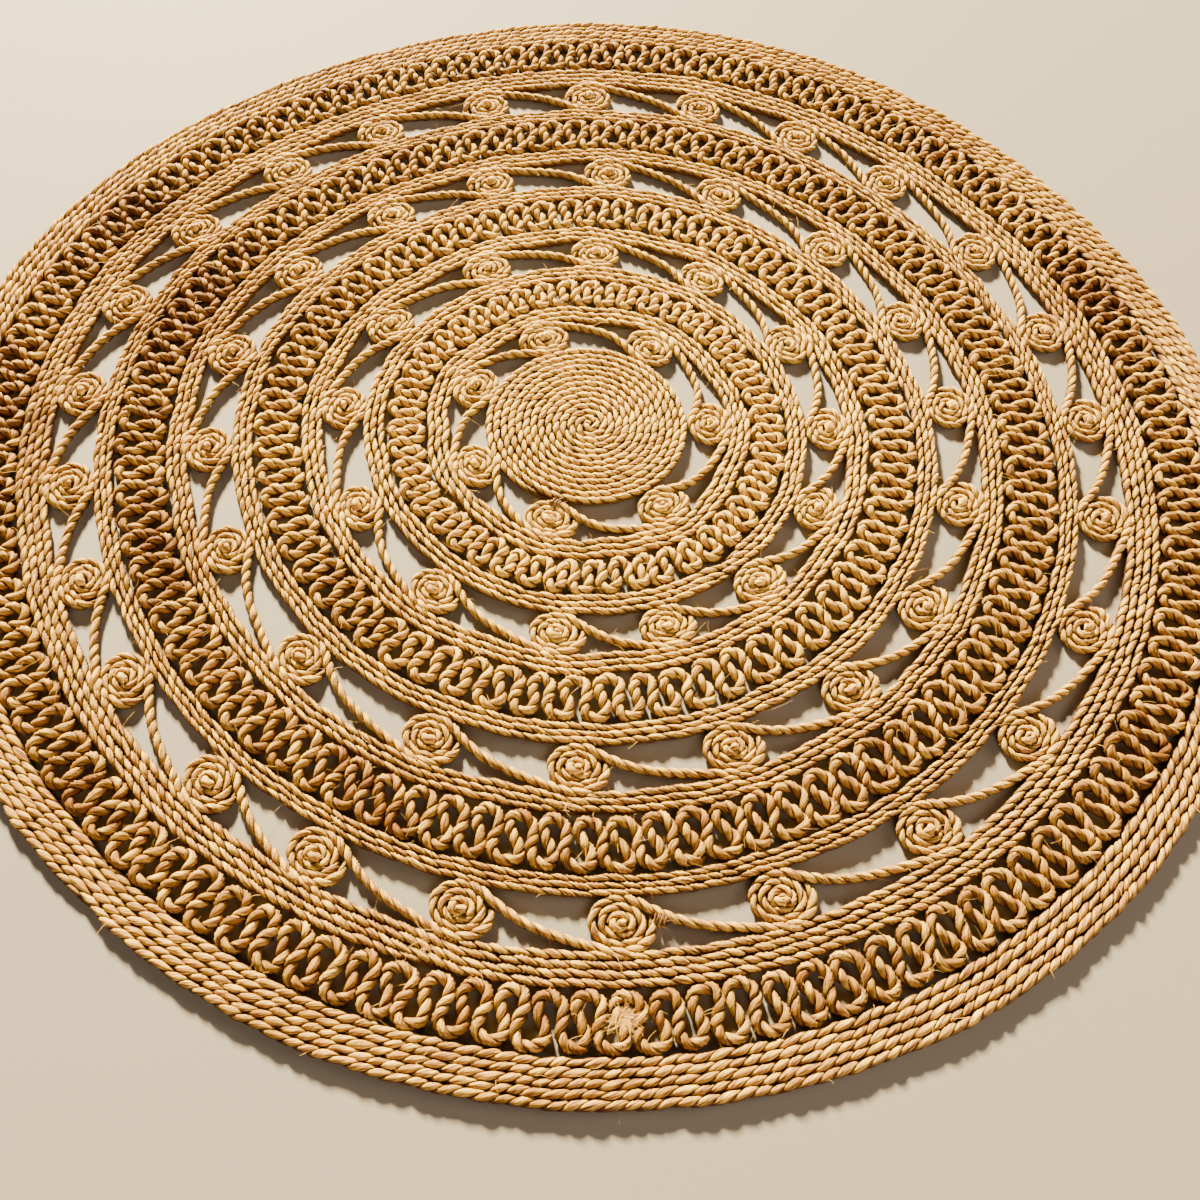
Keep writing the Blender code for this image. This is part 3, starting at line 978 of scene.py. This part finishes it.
def make_fibres(name, fibres, material):
    """One piece of fine fibres. Each one is (points in mm, thickness in mm)."""
    routes = []
    for points, thick in fibres:
        radii = np.linspace(1.0, FIBRE_TIP, len(points)) * thick / 2 * MM
        routes.append((points * MM, radii, np.zeros(len(points))))
    mesh = swept_mesh(name, routes, cut_curves[FIBRE_CUT], "MINIMUM")
    mesh.materials.clear()
    mesh.materials.append(material)
    piece = add_piece(name, mesh)
    print(f"{name}: {len(fibres)} fibres, {triangles(mesh)} triangles")


def stray_fibres(mesh, count, rng):
    """Fibres that stand off the upper side of a cord."""
    places = points_of(mesh) / MM
    normals = np.zeros(len(mesh.vertices) * 3)
    mesh.vertex_normals.foreach_get("vector", normals)
    normals = normals.reshape(-1, 3)
    open_side = np.flatnonzero(normals[:-SECTION_SIDES, 2] > UPPER_SIDE)
    picks = rng.choice(open_side, count, replace=False)
    along = unit(places[picks + SECTION_SIDES] - places[picks]) * rng.choice((-1.0, 1.0), (count, 1))
    any_way = rng.normal(0, ANY_WAY, (count, 3))
    heading = unit(along * ALONG_CORD + normals[picks] * OFF_CORD + any_way)
    curl = rng.normal(0, CURL, (count, 3)) * CURL_SHARES
    length = rng.uniform(*FIBRE_LENGTHS, count) + rng.exponential(LONGER, count)
    thick = rng.uniform(*FIBRE_THICKNESS, count)
    start = places[picks] - normals[picks] * ROOT_DEPTH
    return [(bent_fibre(*row[:4]), row[4]) for row in zip(start, heading, length, curl, thick)]


rng = np.random.default_rng(FIBRE_SEED)
for cord in cords:
    count = int(len(cord.data.vertices) * FIBRES_PER_POINT)
    strays = stray_fibres(cord.data, count, rng)
    make_fibres(cord.name.replace("_cord", "_fibres"), strays, fibre_jute)

# %% [markdown]
# ## Ends and bindings
#
# A few ends of cord show on the rug. One has come loose in the outer zigzag and opened into a tuft,
# and three more have frayed a little between the rows. All of them are bursts of fibres.

# %% Open ends
TUFT = (537.0, 273.5)  # radius in mm, degrees
TUFT_FIBRES, TUFT_SIZE, TUFT_TOWARDS = 170, 13.0, -60.0  # size in mm, degrees
FRAYS = ((262.0, 251.0), (377.0, 268.8), (507.0, 257.3))  # radius in mm, degrees
FRAY_FIBRES, FRAY_SIZE = 16, 7.0
TUFT_HEIGHT = 8.5
TUFT_SPREAD = 75.0  # degrees
TUFT_RISE = (-0.1, 0.35)
TUFT_ROOT, ROOT_SHARES = 0.2, (1, 1, 0.3)  # how far apart its fibres start, for each mm of its size
TUFT_LENGTHS = (0.3, 1.0)
TUFT_BEND, BEND_SPREAD, DROOP = 0.9, (0.2, 1.0), -0.2
TUFT_THICKNESS = (0.30, 0.55)
END_SEED = 950


def tuft(radius, degrees, count, size, towards, rng):
    """Fibres that burst from one place on top of the cords, mostly towards one side."""
    middle = settle(radius, math.radians(degrees), TUFT_HEIGHT) / MM
    fibres = []
    for _ in range(count):
        turn = math.radians(rng.normal(towards, TUFT_SPREAD))
        heading = np.array([math.cos(turn), math.sin(turn), rng.uniform(*TUFT_RISE)])
        start = middle + rng.normal(0, TUFT_ROOT * size, 3) * ROOT_SHARES
        bend = rng.choice((-TUFT_BEND, TUFT_BEND)) * np.array([-heading[1], heading[0], DROOP])
        length = rng.uniform(*TUFT_LENGTHS) * size
        points = bent_fibre(start, unit(heading), length, bend * rng.uniform(*BEND_SPREAD))
        fibres.append((points, rng.uniform(*TUFT_THICKNESS)))
    return fibres


rng = np.random.default_rng(END_SEED)
open_ends = tuft(*TUFT, TUFT_FIBRES, TUFT_SIZE, TUFT_TOWARDS, rng)
for place in FRAYS:
    open_ends += tuft(*place, FRAY_FIBRES, FRAY_SIZE, 0.0, rng)
make_fibres("open_ends", open_ends, fibre_jute)

# %% [markdown]
# Two more ends are bound to their neighbour with some turns of dark thread, with a few cut fibres
# beside.

# %% Bindings
# radius in mm, degrees, heading of the bound cord in degrees from straight ahead
BINDINGS = ((96.0, 254.0, 10.0), (467.0, 277.8, 32.0))
CUT_FIBRES, CUT_SIZE = 12, 9.0
BOUND_HEIGHT, BOUND_RADIUS = 4.9, 4.6
THREAD_LAYERS, LAYER_GAP, THREAD_THICKNESS = 3, 0.4, 1.3
THREAD_TURNS, THREAD_POINTS, THREAD_REACH = 3.6, 44, 4.5
UNEVEN_ALONG, UNEVEN_ROUND = 0.5, 0.15  # mm
THREAD_FLOOR = 0.8


def binding(radius, degrees, heading, rng):
    """Turns of thread round a cord."""
    angle = math.radians(degrees)
    middle = settle(radius, angle, BOUND_HEIGHT) / MM
    turn = angle + math.pi / 2 - math.radians(heading)
    axis = np.array([math.cos(turn), math.sin(turn), 0.0])
    side = np.array([-axis[1], axis[0], 0.0])
    threads = []
    for layer in range(THREAD_LAYERS):
        wind = np.linspace(0, THREAD_TURNS * math.tau, THREAD_POINTS) + rng.uniform(0, math.tau)
        slide = np.linspace(-THREAD_REACH, THREAD_REACH, THREAD_POINTS)
        slide = slide + rng.normal(0, UNEVEN_ALONG, THREAD_POINTS)
        reach = BOUND_RADIUS + LAYER_GAP * layer + rng.normal(0, UNEVEN_ROUND, THREAD_POINTS)
        points = middle + axis * slide[:, None] + side * (reach * np.cos(wind))[:, None]
        points[:, 2] = np.maximum(middle[2] + reach * np.sin(wind), THREAD_FLOOR)
        threads.append((points, THREAD_THICKNESS))
    return threads


bound = []
for place in BINDINGS:
    bound += binding(*place, rng)
for radius, degrees, _ in BINDINGS:
    bound += tuft(radius, degrees, CUT_FIBRES, CUT_SIZE, 0.0, rng)
make_fibres("bindings", bound, thread_jute)

# %% [markdown]
# ## Floor, light and camera
#
# The rug lies on a plain pale floor, which reaches far enough to fill every view. It lies a hair
# lower than the cords, because two faces at the same height would flicker.

# %% Floor
FLOOR_REACH = 20.0  # metres each way
FLOOR_DROP = 0.0002
FLOOR_TONE, FLOOR_ROUGHNESS = (0.25, 0.23, 0.20, 1.0), 0.75
board = bmesh.new()
bmesh.ops.create_grid(board, x_segments=1, y_segments=1, size=FLOOR_REACH)
bmesh.ops.translate(board, verts=board.verts, vec=(0.0, 0.0, -FLOOR_DROP))
floor_mesh = bpy.data.meshes.new("floor")
board.to_mesh(floor_mesh)
board.free()
floor = bpy.data.objects.new("floor", floor_mesh)
scene.collection.objects.link(floor)
pale, tree, shader = new_material("pale floor")
feed(tree, shader, {"Base Color": FLOOR_TONE, "Roughness": FLOOR_ROUGHNESS})
floor_mesh.materials.append(pale)
print("floor:", floor.dimensions[:], "metres")

# %% [markdown]
# The light comes from beyond the rug, from a window far off and low enough to draw a shadow on the
# near side of every cord. Three large weak lamps and a dim room lift those shadows a little. Low
# light is what shows relief: from above, the same cords would look flat.

# %% Lights
# name, place and size in metres, power in watts, colour
LAMPS = (
    ("window side", (-3.1, 8.52, 4.23), 1.2, 13600.0, (1.0, 0.81, 0.48)),
    ("near fill", (1.0, -5.0, 2.3), 3.0, 215.0, (1.0, 0.78, 0.58)),
    ("right fill", (5.0, 0.3, 2.3), 3.0, 210.0, (1.0, 0.78, 0.58)),
    ("left fill", (-5.0, -0.5, 2.3), 3.0, 40.0, (1.0, 0.78, 0.58)),
)
ROOM_COLOUR = (1.0, 0.86, 0.76, 1.0)
ROOM_LIGHT = 0.03
for name, place, size, power, colour in LAMPS:
    data = bpy.data.lights.new(name, "AREA")
    data.size = size
    data.energy = power
    data.color = colour
    lamp = bpy.data.objects.new(name, data)
    lamp.location = place
    lamp.rotation_euler = (-Vector(place)).to_track_quat("-Z", "Y").to_euler()
    scene.collection.objects.link(lamp)
world = bpy.data.worlds.new("room")
world.use_nodes = True
tree = world.node_tree
feed(tree, tree.nodes["Background"], {"Color": ROOM_COLOUR, "Strength": ROOM_LIGHT})
scene.world = world
print("lamps:", len(LAMPS))

# %% [markdown]
# The camera stands just off the near edge and looks steeply down. Its place and turn were worked
# out once from the rug's round outline, so here they are only numbers: a turn about the upright,
# then a tilt, then a small roll.

# %% Camera
CAMERA_PLACE = (-0.01315, -0.77168, 0.94075)
CAMERA_HEADING, CAMERA_TILT, CAMERA_ROLL = -2.0758, 31.806, 4.0860  # degrees
FOCAL_LENGTH, SENSOR_WIDTH = 38.83, 36.0  # mm
lens = bpy.data.cameras.new("camera")
lens.lens = FOCAL_LENGTH
lens.sensor_width = SENSOR_WIDTH
camera = bpy.data.objects.new("camera", lens)
turned = (
    Matrix.Rotation(math.radians(CAMERA_HEADING), 4, "Z")
    @ Matrix.Rotation(math.radians(CAMERA_TILT), 4, "X")
    @ Matrix.Rotation(math.radians(CAMERA_ROLL), 4, "Z")
)
camera.matrix_world = Matrix.Translation(CAMERA_PLACE) @ turned
scene.collection.objects.link(camera)
scene.camera = camera
print("the camera stands", CAMERA_PLACE[2], "m over the floor")

# %% [markdown]
# ## Close
#
# The four helper curves are taken away.

# %% Take the helper curves away
for helper in cut_curves.values():
    bpy.data.objects.remove(helper)
